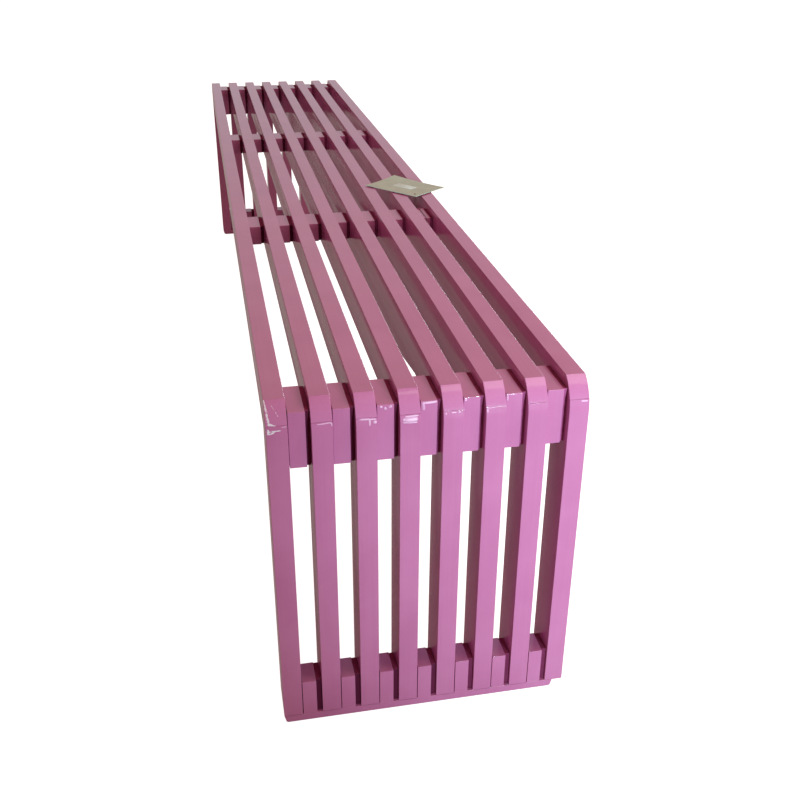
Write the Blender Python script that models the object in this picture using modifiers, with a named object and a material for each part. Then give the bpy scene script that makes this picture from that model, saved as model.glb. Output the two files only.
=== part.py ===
"""Slatted bench: eight narrow slat frames side by side, held apart by spacer blocks.

Each slat frame is one seat bar whose ends are rebated over the tops of two legs. One
round, tangent to the end face, runs over bar and leg and meets the top in a crease.
One bar has a keel below, which stiffens the seat. Spacer blocks fill the gaps in four rows:
one at each top corner and two along the seat. A boss on the +Y side of each block bears on
the next slat, set back so that a narrow slot shows beside the block. A hidden rod runs
through the slats and blocks of each row. At the floor each end has a foot rail: a flat
runner under the legs that carries a block between each two legs. A blank card tag lies on
the seat, on a string looped round one spacer block.

Metres. +X runs along the bench to its near end, +Z is up, and the origin is on the
floor below the middle of the seat. Slats are counted from the -Y side.
"""
import math

import bmesh
import bpy
from mathutils import Matrix, Vector

# Slats
SLAT_COUNT = 8
SLAT_PITCH = 0.048
SLAT_WIDTH = 0.0231
BENCH_LENGTH = 2.085
SEAT_HEIGHT = 0.440
BAR_THICKNESS = 0.047
LEG_DEPTH = 0.052
LAP_DEPTH = 0.023
CORNER_RADIUS = 0.045
CORNER_CREASE = math.radians(33)
CORNER_STEPS = 7
SLAT_EASE = 0.0008

# Keel under one seat bar
KEEL_SLAT = 4
KEEL_WIDTH = 0.0215
KEEL_DEPTH = 0.013
KEEL_TIP = 0.003
KEEL_ROOT = 0.006
KEEL_INSET = 0.1625
KEEL_TAPER = 0.080

# Round tenon on top of each leg
TENON_RADIUS = 0.005
TENON_LENGTH = 0.012
TENON_ROOT = 0.010

# Spacer blocks
BLOCK_RECESS = 0.008
BLOCK_DROP = 0.0115
BLOCK_SLOT = 0.0046
BLOCK_EASE = 0.002
CORNER_BLOCK_DEPTH = 0.064
CORNER_BLOCK_HEIGHT = 0.068
SEAT_BLOCK_LENGTH = 0.060
SEAT_BLOCK_HEIGHT = 0.030
SEAT_ROW_OFFSET = 0.335
BOSS_INSET = 0.010
BOSS_DROP = 0.006
BOSS_RISE = 0.0005
BOSS_ROOT = 0.003

# Rods through the rows
ROD_RADIUS = 0.006
ROD_COVER = 0.008
ROD_BELOW_LAP = 0.027

# Foot rails
RUNNER_THICKNESS = 0.012
RUNNER_SHORT = 0.013
RUNNER_EASE = 0.002
FOOT_BLOCK_RECESS = 0.001
FOOT_BLOCK_DEPTH = 0.034
FOOT_BLOCK_HEIGHT = 0.050
FOOT_BLOCK_SLOT = 0.0057
FOOT_BLOCK_HOUSING = 0.004
PEG_RADIUS = 0.0025
PEG_LENGTH = 0.015
PEG_ROOT = 0.006

# Card tag and its string
TAG_LENGTH = 0.120
TAG_WIDTH = 0.083
TAG_THICKNESS = 0.0008
TAG_TURN = math.radians(39)
TAG_HOLE_RADIUS = 0.003
TAG_HOLE_INSET = 0.011
TAG_LEAD = 0.0425
TAG_SIDE_SHIFT = 0.0021
STRING_RADIUS = 0.0005
STRING_STEP = 0.0038

# The string's way, from the tag's hole over, down and under the block and back.
# Each point is measured from the middle of the block's top edge on the tag's side.
STRING_ROUTE = (
    (-0.0425, 0.0009, 0.0140),
    (-0.0424, 0.0009, 0.0095),
    (-0.0399, 0.0009, 0.0035),
    (-0.0329, 0.0008, -0.0010),
    (-0.0231, 0.0006, -0.0030),
    (-0.0132, 0.0004, -0.0020),
    (-0.0049, 0.0002, 0.0002),
    (0.0030, 0.0001, 0.0014),
    (0.0160, 0.0000, 0.0011),
    (0.0320, 0.0000, 0.0011),
    (0.0470, 0.0000, 0.0011),
    (0.0565, 0.0000, 0.0013),
    (0.0603, 0.0001, 0.0000),
    (0.0615, 0.0002, -0.0036),
    (0.0614, 0.0005, -0.0130),
    (0.0615, 0.0010, -0.0250),
    (0.0605, 0.0016, -0.0335),
    (0.0550, 0.0020, -0.0397),
    (0.0430, 0.0024, -0.0425),
    (0.0290, 0.0028, -0.0420),
    (0.0150, 0.0031, -0.0390),
    (0.0020, 0.0033, -0.0340),
    (-0.0074, 0.0033, -0.0275),
    (-0.0156, 0.0033, -0.0200),
    (-0.0239, 0.0033, -0.0115),
    (-0.0321, 0.0033, -0.0030),
    (-0.0387, 0.0033, 0.0040),
    (-0.0422, 0.0033, 0.0100),
    (-0.0425, 0.0033, 0.0140),
)

# Fits
FIT_GAP = 0.0003
ROUND_SIDES = 12
EASE_ANGLE = math.radians(30)
CUT_PAST = 0.010
WELD = 0.00001
FLAT_ANGLE = math.radians(1)

# Places worked out from the sizes
BENCH_END = BENCH_LENGTH / 2
LAP_HEIGHT = SEAT_HEIGHT - LAP_DEPTH
LEG_BOTTOM = RUNNER_THICKNESS + FIT_GAP
LEG_TOP = LAP_HEIGHT - FIT_GAP
SLAT_SIDE = SLAT_WIDTH / 2
BENCH_SIDE = (SLAT_COUNT - 1) * SLAT_PITCH / 2 + SLAT_SIDE
BLOCK_TOP = SEAT_HEIGHT - BLOCK_DROP
BLOCK_WIDTH = SLAT_PITCH - SLAT_WIDTH - BLOCK_SLOT - FIT_GAP
FOOT_BLOCK_WIDTH = SLAT_PITCH - SLAT_WIDTH - FOOT_BLOCK_SLOT - FIT_GAP
KEEL_END = BENCH_END - KEEL_INSET
CORNER_ROD_X = BENCH_END - LEG_DEPTH / 2
CORNER_ROD_HEIGHT = LAP_HEIGHT - ROD_BELOW_LAP
SEAT_ROD_HEIGHT = BLOCK_TOP - SEAT_BLOCK_HEIGHT / 2
ENDS = {"near": 1, "far": -1}
ORIGIN = Vector((0, 0, 0))
ACROSS = Matrix(((1, 0, 0), (0, 0, -1), (0, 1, 0))).to_4x4()


def slat_y(slat):
    """The middle of a slat across the bench, slats counted from 0."""
    return (slat - (SLAT_COUNT - 1) / 2) * SLAT_PITCH


def block_y(gap, width):
    """The middle of a block, which sits against the slat on its -Y side."""
    return slat_y(gap) + SLAT_SIDE + FIT_GAP + width / 2


def gap_y(gap):
    """The middle of the gap between two slats."""
    return (slat_y(gap) + slat_y(gap + 1)) / 2


def peg_y(slat):
    """The middle of the stretch where the leg of a slat stands on the runner."""
    low = slat_y(slat) - SLAT_SIDE
    high = min(slat_y(slat) + SLAT_SIDE, BENCH_SIDE - RUNNER_SHORT)
    return (low + high) / 2


def clear_scene():
    """Take away whatever the file opened with."""
    for thing in list(bpy.data.objects):
        bpy.data.objects.remove(thing, do_unlink=True)


def new_collection(name):
    """A collection of the scene."""
    group = bpy.data.collections.new(name)
    bpy.context.scene.collection.children.link(group)
    return group


def finish(name, colour, roughness, metallic=0.0):
    """A plain Principled material."""
    made = bpy.data.materials.new(name)
    made.use_nodes = True
    shader = made.node_tree.nodes["Principled BSDF"]
    shader.inputs["Base Color"].default_value = (*colour, 1.0)
    shader.inputs["Roughness"].default_value = roughness
    shader.inputs["Metallic"].default_value = metallic
    return made


def place(name, shape, where, group, look=None):
    """Put a finished bmesh into the scene as an object at its place."""
    mesh = bpy.data.meshes.new(name)
    shape.to_mesh(mesh)
    shape.free()
    made = bpy.data.objects.new(name, mesh)
    made.location = where
    group.objects.link(made)
    if look is None:
        made.hide_render = True
        made.display_type = "WIRE"
    else:
        mesh.materials.append(look)
        made.parent = bench
    return made


def box_shape(size):
    """A box of the given size round its own middle."""
    shape = bmesh.new()
    bmesh.ops.create_cube(shape, size=1.0)
    bmesh.ops.scale(shape, vec=Vector(size), verts=shape.verts)
    return shape


def round_bar_shape(radius, length, turn=Matrix.Identity(4), middles=(ORIGIN,)):
    """Faceted round bars, upright unless turned, one at each of the given middles."""
    shape = bmesh.new()
    for middle in middles:
        bmesh.ops.create_cone(
            shape,
            cap_ends=True,
            segments=ROUND_SIDES,
            radius1=radius,
            radius2=radius,
            depth=length,
            matrix=Matrix.Translation(middle) @ turn,
        )
    return shape


def outline_shape(points, thickness):
    """A flat outline, its points given in X and Z, thickened evenly to both sides along Y."""
    line = bpy.data.curves.new("outline", "CURVE")
    line.dimensions = "2D"
    line.fill_mode = "BOTH"
    line.extrude = thickness / 2
    spline = line.splines.new("POLY")
    spline.points.add(len(points) - 1)
    spline.use_cyclic_u = True
    for point, (x, z) in zip(spline.points, points):
        point.co = (x, z, 0, 1)
    flat = bpy.data.objects.new("outline", line)
    bpy.context.scene.collection.objects.link(flat)
    graph = bpy.context.evaluated_depsgraph_get()
    mesh = bpy.data.meshes.new_from_object(flat.evaluated_get(graph))
    bpy.data.objects.remove(flat)
    shape = bmesh.new()
    shape.from_mesh(mesh)
    bpy.data.meshes.remove(mesh)
    bmesh.ops.remove_doubles(shape, verts=shape.verts, dist=WELD)
    bmesh.ops.dissolve_limit(shape, angle_limit=FLAT_ANGLE, verts=shape.verts, edges=shape.edges)
    bmesh.ops.recalc_face_normals(shape, faces=shape.faces)
    bmesh.ops.transform(shape, matrix=ACROSS, verts=shape.verts)
    return shape


def ease(thing, width):
    """Ease the sharp edges of an object."""
    eased = thing.modifiers.new("ease", "BEVEL")
    eased.width = width
    eased.segments = 1
    eased.limit_method = "ANGLE"
    eased.angle_limit = EASE_ANGLE


def join_or_cut(thing, operation, other):
    """Add a Boolean with another object."""
    made = thing.modifiers.new(operation.lower(), "BOOLEAN")
    made.operation = operation
    made.solver = "EXACT"
    made.object = other


def rod_bores(name, x, height):
    """The bores of a row's rods at both ends, blind in the two outer slats."""
    length = 2 * (BENCH_SIDE - ROD_COVER + FIT_GAP)
    middles = [Vector((way * x, 0, height)) for way in ENDS.values()]
    shape = round_bar_shape(ROD_RADIUS + FIT_GAP, length, ACROSS, middles)
    return place(name, shape, ORIGIN, cutters)


def upright_bores(name, radius, low, high, sides):
    """Upright bores in the legs' middle line at both ends, one at each place across the bench."""
    height = (low + high) / 2
    middles = [Vector((way * CORNER_ROD_X, side, height)) for way in ENDS.values() for side in sides]
    shape = round_bar_shape(radius + FIT_GAP, high - low, middles=middles)
    return place(name, shape, ORIGIN, cutters)


def lap_cuts(name, depth, low, high):
    """What one half of the laps takes away at both ends, to a depth from the end faces."""
    size = Vector((depth + CUT_PAST, 2 * (BENCH_SIDE + CUT_PAST), high - low))
    shape = bmesh.new()
    for way in ENDS.values():
        middle = Vector((way * (BENCH_END + CUT_PAST - size.x / 2), 0, (low + high) / 2))
        bmesh.ops.create_cube(shape, size=1.0, matrix=Matrix.LocRotScale(middle, None, size))
    return place(name, shape, ORIGIN, cutters)


def make_cuts():
    """Every bore and rebate, by what it makes room for."""
    slat_sides = [slat_y(slat) for slat in range(SLAT_COUNT)]
    peg_sides = [peg_y(slat) for slat in range(SLAT_COUNT)]
    tenon_low = LAP_HEIGHT - CUT_PAST
    tenon_high = LEG_TOP + TENON_LENGTH + FIT_GAP
    peg_low = RUNNER_THICKNESS - CUT_PAST
    peg_high = RUNNER_THICKNESS + PEG_LENGTH + FIT_GAP
    below_bar = SEAT_HEIGHT - BAR_THICKNESS - CUT_PAST
    return {
        "leg_top": lap_cuts("leg_tops", LEG_DEPTH + FIT_GAP, below_bar, LAP_HEIGHT),
        "bar_end": lap_cuts("bar_ends", LEG_DEPTH + CUT_PAST, LEG_TOP, SEAT_HEIGHT + CUT_PAST),
        "seat": rod_bores("seat_rod_bores", SEAT_ROW_OFFSET, SEAT_ROD_HEIGHT),
        "corner": rod_bores("corner_rod_bores", CORNER_ROD_X, CORNER_ROD_HEIGHT),
        "tenon": upright_bores("tenon_bores", TENON_RADIUS, tenon_low, tenon_high, slat_sides),
        "peg": upright_bores("peg_bores", PEG_RADIUS, peg_low, peg_high, peg_sides),
    }


def end_round(way):
    """The round of a slat's end, from the crease in its top down to the end face."""
    points = []
    for i in range(CORNER_STEPS + 1):
        turn = CORNER_CREASE + (math.pi / 2 - CORNER_CREASE) * i / CORNER_STEPS
        back = CORNER_RADIUS * (1 - math.sin(turn))
        down = CORNER_RADIUS * (math.cos(CORNER_CREASE) - math.cos(turn))
        points.append((way * (BENCH_END - back), SEAT_HEIGHT - down))
    return points


def make_keel(bottom):
    """The keel, from inside its bar to below the bar's bottom, with tapered ends."""
    full = KEEL_END - KEEL_TAPER
    low = bottom - KEEL_DEPTH
    tip = bottom - KEEL_TIP
    root = bottom + KEEL_ROOT
    below = [(-KEEL_END, tip), (-full, low), (full, low), (KEEL_END, tip)]
    shape = outline_shape([*below, (KEEL_END, root), (-KEEL_END, root)], KEEL_WIDTH)
    return place("keel", shape, (0, slat_y(KEEL_SLAT), 0), cutters)


def make_seat_bar(slat):
    """One bar of the seat: round at its two upper ends and rebated over the legs."""
    bottom = SEAT_HEIGHT - BAR_THICKNESS
    outline = [(-BENCH_END, bottom), (BENCH_END, bottom), *reversed(end_round(1)), *end_round(-1)]
    shape = outline_shape(outline, SLAT_WIDTH)
    bar = place(f"seat_bar_{slat + 1}", shape, (0, slat_y(slat), 0), parts, looks["bar"])
    ease(bar, SLAT_EASE)
    if slat == KEEL_SLAT:
        join_or_cut(bar, "UNION", make_keel(bottom))
    join_or_cut(bar, "DIFFERENCE", cuts["leg_top"])
    join_or_cut(bar, "DIFFERENCE", cuts["tenon"])
    join_or_cut(bar, "DIFFERENCE", cuts["seat"])


def make_leg(end, slat):
    """One leg, cut off under the bar, with a round tenon on top and a peg hole below."""
    way = ENDS[end]
    inner = way * (BENCH_END - LEG_DEPTH)
    outline = [(inner, SEAT_HEIGHT), *end_round(way), (way * BENCH_END, LEG_BOTTOM), (inner, LEG_BOTTOM)]
    shape = outline_shape(outline, SLAT_WIDTH)
    leg = place(f"{end}_leg_{slat + 1}", shape, (0, slat_y(slat), 0), parts, looks["leg"])
    ease(leg, SLAT_EASE)
    join_or_cut(leg, "DIFFERENCE", cuts["bar_end"])
    tenon_shape = round_bar_shape(TENON_RADIUS, TENON_LENGTH + TENON_ROOT)
    tenon_where = (way * CORNER_ROD_X, slat_y(slat), LEG_TOP + (TENON_LENGTH - TENON_ROOT) / 2)
    tenon = place(f"{end}_tenon_{slat + 1}", tenon_shape, tenon_where, cutters)
    join_or_cut(leg, "UNION", tenon)
    join_or_cut(leg, "DIFFERENCE", cuts["corner"])
    join_or_cut(leg, "DIFFERENCE", cuts["peg"])


def make_boss(name, gap, width, x, depth, low, high, group):
    """A boss in the slot beside a block, from inside the block to the next slat."""
    start = slat_y(gap) + SLAT_SIDE + FIT_GAP + width - BOSS_ROOT
    stop = slat_y(gap + 1) - SLAT_SIDE - FIT_GAP
    size = (depth - 2 * BOSS_INSET, stop - start, high - low)
    where = (x, (start + stop) / 2, (low + high) / 2)
    return place(name, box_shape(size), where, group)


def make_spacer(row, end, gap):
    """One spacer block of a row, bored for the row's rod."""
    if row == "corner":
        size = (CORNER_BLOCK_DEPTH, BLOCK_WIDTH, CORNER_BLOCK_HEIGHT)
        x = ENDS[end] * (BENCH_END - BLOCK_RECESS - CORNER_BLOCK_DEPTH / 2)
    else:
        size = (SEAT_BLOCK_LENGTH, BLOCK_WIDTH, SEAT_BLOCK_HEIGHT)
        x = ENDS[end] * SEAT_ROW_OFFSET
    where = (x, block_y(gap, BLOCK_WIDTH), BLOCK_TOP - size[2] / 2)
    block = place(f"{end}_{row}_spacer_{gap + 1}", box_shape(size), where, parts, looks["spacer"])
    ease(block, BLOCK_EASE)
    low = BLOCK_TOP - size[2] + BOSS_RISE
    high = BLOCK_TOP - BOSS_DROP
    boss = make_boss(f"{end}_{row}_boss_{gap + 1}", gap, BLOCK_WIDTH, x, size[0], low, high, cutters)
    join_or_cut(block, "UNION", boss)
    join_or_cut(block, "DIFFERENCE", cuts[row])


def make_rod(row, end, x, height):
    """The rod that ties the slats of one row together."""
    length = 2 * (BENCH_SIDE - ROD_COVER)
    shape = round_bar_shape(ROD_RADIUS, length, ACROSS)
    place(f"{end}_{row}_rod", shape, (ENDS[end] * x, 0, height), parts, looks["rod"])


def make_foot_rail(end):
    """The runner under the legs, with its blocks between them and its pegs into them."""
    way = ENDS[end]
    additions = new_collection(f"{end}_foot_rail_additions")
    block_size = (FOOT_BLOCK_DEPTH, FOOT_BLOCK_WIDTH, FOOT_BLOCK_HEIGHT + FOOT_BLOCK_HOUSING)
    block_x = way * (BENCH_END - FOOT_BLOCK_RECESS - FOOT_BLOCK_DEPTH / 2)
    block_top = RUNNER_THICKNESS + FOOT_BLOCK_HEIGHT
    boss_low = RUNNER_THICKNESS - FOOT_BLOCK_HOUSING / 2
    boss_high = block_top - BOSS_DROP
    for gap in range(SLAT_COUNT - 1):
        where = (block_x, block_y(gap, FOOT_BLOCK_WIDTH), block_top - block_size[2] / 2)
        block = place(f"{end}_foot_block_{gap + 1}", box_shape(block_size), where, additions)
        ease(block, BLOCK_EASE)
        boss_name = f"{end}_foot_boss_{gap + 1}"
        make_boss(boss_name, gap, FOOT_BLOCK_WIDTH, block_x, FOOT_BLOCK_DEPTH, boss_low, boss_high, additions)
    peg_z = RUNNER_THICKNESS + (PEG_LENGTH - PEG_ROOT) / 2
    for slat in range(SLAT_COUNT):
        where = (way * CORNER_ROD_X, peg_y(slat), peg_z)
        peg_shape = round_bar_shape(PEG_RADIUS, PEG_LENGTH + PEG_ROOT)
        place(f"{end}_peg_{slat + 1}", peg_shape, where, additions)
    length = 2 * BENCH_SIDE - RUNNER_SHORT
    where = (way * CORNER_ROD_X, -RUNNER_SHORT / 2, RUNNER_THICKNESS / 2)
    size = (LEG_DEPTH, length, RUNNER_THICKNESS)
    rail = place(f"{end}_foot_rail", box_shape(size), where, parts, looks["rail"])
    ease(rail, RUNNER_EASE)
    joined = rail.modifiers.new("union", "BOOLEAN")
    joined.operation = "UNION"
    joined.solver = "EXACT"
    joined.operand_type = "COLLECTION"
    joined.collection = additions


def make_tag():
    """The blank card that lies on the seat, with a hole above the last gap for its string."""
    hole_x = SEAT_ROW_OFFSET - SEAT_BLOCK_LENGTH / 2 - TAG_LEAD
    hole_y = gap_y(SLAT_COUNT - 2) + TAG_SIDE_SHIFT
    middle_z = SEAT_HEIGHT + FIT_GAP + TAG_THICKNESS / 2
    hole_place = Vector((hole_x, hole_y, middle_z))
    from_middle = Vector((TAG_LENGTH / 2 - TAG_HOLE_INSET, TAG_HOLE_INSET - TAG_WIDTH / 2, 0))
    turn = Matrix.Rotation(TAG_TURN, 4, "Z")
    shape = box_shape((TAG_LENGTH, TAG_WIDTH, TAG_THICKNESS))
    tag = place("hang_tag", shape, hole_place - turn @ from_middle, parts, looks["card"])
    tag.rotation_euler = (0, 0, TAG_TURN)
    hole_shape = round_bar_shape(TAG_HOLE_RADIUS, TAG_THICKNESS + 2 * CUT_PAST)
    hole = place("tag_hole", hole_shape, hole_place, cutters)
    join_or_cut(tag, "DIFFERENCE", hole)


def smooth_way(points, step):
    """Points about one step apart on a smooth curve through the given points."""
    ends = [2 * points[0] - points[1], *points, 2 * points[-1] - points[-2]]
    way = []
    for before, start, stop, after in zip(ends, ends[1:], ends[2:], ends[3:]):
        count = max(1, round((stop - start).length / step))
        for i in range(count):
            t = i / count
            bend = 2 * before - 5 * start + 4 * stop - after
            twist = 3 * start - before - 3 * stop + after
            way.append(start + t * (stop - before) / 2 + t * t * bend / 2 + t ** 3 * twist / 2)
    way.append(points[-1])
    return way


def make_string():
    """The tag's string, one open tube from the hole round the last block of the near seat row."""
    start = Vector((SEAT_ROW_OFFSET - SEAT_BLOCK_LENGTH / 2, gap_y(SLAT_COUNT - 2), BLOCK_TOP))
    way = smooth_way([start + Vector(point) for point in STRING_ROUTE], STRING_STEP)
    line = bpy.data.curves.new("tag_string", "CURVE")
    line.dimensions = "3D"
    line.bevel_depth = STRING_RADIUS
    line.bevel_resolution = 2
    line.use_fill_caps = True
    spline = line.splines.new("POLY")
    spline.points.add(len(way) - 1)
    for point, where in zip(spline.points, way):
        point.co = (*where, 1.0)
    line.materials.append(looks["string"])
    made = bpy.data.objects.new("tag_string", line)
    made.parent = bench
    parts.objects.link(made)


clear_scene()
parts = new_collection("slatted_bench")
cutters = new_collection("cutters")
bench = bpy.data.objects.new("bench", None)
parts.objects.link(bench)
looks = {
    "bar": finish("pink_paint_bars", (0.47, 0.17, 0.30), 0.42),
    "leg": finish("pink_paint_legs", (0.50, 0.17, 0.36), 0.40),
    "spacer": finish("pink_paint_spacers", (0.48, 0.16, 0.34), 0.42),
    "rail": finish("pink_paint_rails", (0.45, 0.14, 0.30), 0.45),
    "rod": finish("bare_beech", (0.62, 0.46, 0.29), 0.60),
    "card": finish("kraft_card", (0.40, 0.36, 0.26), 0.85),
    "string": finish("jute_string", (0.46, 0.40, 0.30), 0.90),
}
cuts = make_cuts()

for slat_index in range(SLAT_COUNT):
    make_seat_bar(slat_index)
    for end_name in ENDS:
        make_leg(end_name, slat_index)
for end_name in ENDS:
    for gap_index in range(SLAT_COUNT - 1):
        make_spacer("corner", end_name, gap_index)
        make_spacer("seat", end_name, gap_index)
    make_rod("corner", end_name, CORNER_ROD_X, CORNER_ROD_HEIGHT)
    make_rod("seat", end_name, SEAT_ROW_OFFSET, SEAT_ROD_HEIGHT)
    make_foot_rail(end_name)
make_tag()
make_string()
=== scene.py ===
"""Looks of the slatted bench: painted slats, blocks and foot rails, a card tag and its string.

Metres, in the part's own frame: +X runs along the bench to its near end, +Y goes across it from
the first slat to the last, +Z is up. Every new piece keeps its place in its mesh, so Object
coordinates are places on the bench.
"""
import math

import bpy
import numpy as np
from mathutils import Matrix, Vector


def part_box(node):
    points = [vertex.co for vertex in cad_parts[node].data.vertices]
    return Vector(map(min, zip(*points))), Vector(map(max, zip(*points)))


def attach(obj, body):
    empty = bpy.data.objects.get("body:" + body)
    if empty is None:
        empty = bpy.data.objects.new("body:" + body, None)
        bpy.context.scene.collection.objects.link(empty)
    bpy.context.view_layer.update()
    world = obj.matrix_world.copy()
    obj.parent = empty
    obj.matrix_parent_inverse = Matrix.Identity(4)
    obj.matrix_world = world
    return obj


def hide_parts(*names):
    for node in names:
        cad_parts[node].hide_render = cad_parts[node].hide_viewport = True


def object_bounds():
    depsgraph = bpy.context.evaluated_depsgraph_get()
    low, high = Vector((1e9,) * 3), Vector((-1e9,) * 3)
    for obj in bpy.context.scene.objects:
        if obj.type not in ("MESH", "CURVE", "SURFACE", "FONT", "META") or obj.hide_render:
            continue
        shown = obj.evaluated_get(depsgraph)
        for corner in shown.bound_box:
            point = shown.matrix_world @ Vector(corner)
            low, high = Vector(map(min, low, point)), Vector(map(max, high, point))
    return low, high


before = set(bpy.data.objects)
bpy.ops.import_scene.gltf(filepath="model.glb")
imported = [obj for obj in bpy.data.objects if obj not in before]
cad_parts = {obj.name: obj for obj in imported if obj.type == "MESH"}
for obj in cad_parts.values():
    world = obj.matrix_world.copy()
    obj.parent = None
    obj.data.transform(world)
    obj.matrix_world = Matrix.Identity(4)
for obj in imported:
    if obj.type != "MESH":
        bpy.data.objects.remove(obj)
cad_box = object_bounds()

# Camera
EYE = (1.94857, -0.21797, 0.90844)
EYE_TURN = (62.9665, -0.2428, 78.7714)
LENS = 43.944
SENSOR = 36.0

# Slats
SLATS = range(1, 9)
GAPS = range(1, 8)
ENDS = {"near": 1, "far": -1}
ROWS = ("corner", "seat")
CORNER_RADIUS = 0.045
CORNER_CREASE = math.radians(33)
CREASE_ROUND = 0.0007
LAP_DEPTH = 0.023
SLAT_EASE = 0.0007
FOOT_ROUND = 0.0010
SEAM_ROUND = 0.0004
CREASE_TURN = math.radians(33.6)
BAR_TURN = math.radians(68)
LEG_TURN = math.radians(79)
REBATE_GAP = 0.0003
REBATE_ROUND = 0.0005
LEG_SINK = 0.001
EASE_STEPS = 4
ARC_STEPS = 4
END_STEPS = 20
SEAM_STEPS = 2
KEEL_BAR = 5
KEEL_WIDTH = 0.0215
KEEL_DEPTH = 0.0145
KEEL_TIP = 0.003
KEEL_ROOT = 0.004
KEEL_INSET = 0.158
KEEL_TAPER = 0.080
KEEL_ROUND = 0.0015

# Blocks and foot rails
BLOCK_RECESS = 0.008
BLOCK_ROUND = 0.0006
BLOCK_SLOT = 0.0052
BLOCK_CREVICE = 0.0009
BOSS_INSET = 0.0035
BOSS_BACK = 0.0005
BOSS_DROP = 0.0006
BOSS_ROOT = 0.003
BOSS_ROUND = 0.0004
FIT_GAP = 0.0003
FOOT_BLOCK_ROUND = 0.0002
FOOT_BLOCK_RECESS = 0.0002
FOOT_BLOCK_DEPTH = 0.034
FOOT_BLOCK_SLOT = 0.0070
FOOT_BLOCK_SINK = 0.003
RUNNER_THICKNESS = 0.012
RUNNER_TOP_ROUND = 0.0002
RUNNER_LOW_ROUND = 0.0030
RUNNER_END_ROUND = 0.0090

# Runs of the paint on the near end
RUN_STEPS = 10
RUN_SIDES = 12
RUN_TIP = 0.001
RUN_HEIGHT = 0.22
RUN_SPREAD = 1.9
RUN_TILT = math.radians(17)
RUN_LIFT = 0.0002

# Each is a slat, a radius and places across from the slat's middle and down from the seat's top
SEAM_RUNS = (
    (1, 0.0004, ((0.0049, 0.0243), (0.0085, 0.0241), (0.0108, 0.0238))),
    (2, 0.0005, ((-0.0055, 0.0249), (0.0018, 0.0245), (0.0082, 0.0239), (0.0102, 0.0250),
                 (0.0107, 0.0280))),
    (3, 0.0006, ((-0.0085, 0.0236), (0.0011, 0.0240), (0.0106, 0.0244))),
    (3, 0.0006, ((0.0032, 0.0243), (0.0033, 0.0280), (0.0031, 0.0313))),
    (3, 0.0012, ((0.0086, 0.0258), (0.0088, 0.0275), (0.0086, 0.0292))),
    (4, 0.0006, ((-0.0063, 0.0249), (0.0010, 0.0248), (0.0090, 0.0244))),
    (4, 0.0010, ((-0.0088, 0.0284), (-0.0066, 0.0279), (-0.0044, 0.0275))),
    (4, 0.0018, ((-0.0066, 0.0284), (0.0005, 0.0282), (0.0082, 0.0280))),
    (4, 0.0005, ((-0.0087, 0.0311), (-0.0010, 0.0317), (0.0074, 0.0320))),
    (5, 0.0008, ((-0.0094, 0.0252), (-0.0086, 0.0254), (-0.0078, 0.0253))),
    (5, 0.0004, ((-0.0025, 0.0252), (0.0004, 0.0248), (0.0029, 0.0251))),
    (5, 0.0004, ((0.0050, 0.0251), (0.0064, 0.0248), (0.0080, 0.0250))),
    (6, 0.0005, ((-0.0099, 0.0240), (-0.0100, 0.0260), (-0.0099, 0.0282))),
    (8, 0.0005, ((0.0018, 0.0248), (0.0060, 0.0250), (0.0098, 0.0252))),
)

# Each is a gap, a radius and places across from the slat on its left and down from the block's top
BLOCK_RUNS = (
    (3, 0.0007, ((0.0042, 0.0016), (0.0056, 0.0020), (0.0068, 0.0026))),
    (3, 0.0008, ((0.0090, 0.0030), (0.0100, 0.0044), (0.0106, 0.0062))),
    (3, 0.0008, ((0.0138, 0.0036), (0.0154, 0.0026), (0.0172, 0.0018))),
    (4, 0.0007, ((0.0024, 0.0020), (0.0110, 0.0018), (0.0188, 0.0015))),
    (4, 0.0009, ((0.0036, 0.0026), (0.0042, 0.0066), (0.0044, 0.0108))),
    (5, 0.0008, ((0.0022, 0.0018), (0.0032, 0.0026), (0.0042, 0.0036))),
    (6, 0.0005, ((0.0024, 0.0010), (0.0026, 0.0045), (0.0027, 0.0079))),
)

# Chips of the paint there: a line's start and end, placed as the seam runs are, and a width
CHIPPED_SLAT = 1
BAR_CHIPS = (
    ((-0.0109, 0.0002), (-0.0098, 0.0063), 0.0010),
    ((-0.0098, 0.0063), (-0.0086, 0.0148), 0.0013),
    ((-0.0086, 0.0148), (-0.0076, 0.0211), 0.0016),
    ((-0.0078, 0.0206), (-0.0012, 0.0226), 0.0014),
    ((-0.0031, 0.0046), (0.0025, 0.0135), 0.0005),
)
LEG_CHIPS = (
    ((-0.0088, 0.0272), (-0.0088, 0.0306), 0.0017),
    ((-0.0080, 0.0284), (0.0040, 0.0278), 0.0009),
    ((-0.0088, 0.0314), (-0.0022, 0.0290), 0.0010),
)

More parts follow.
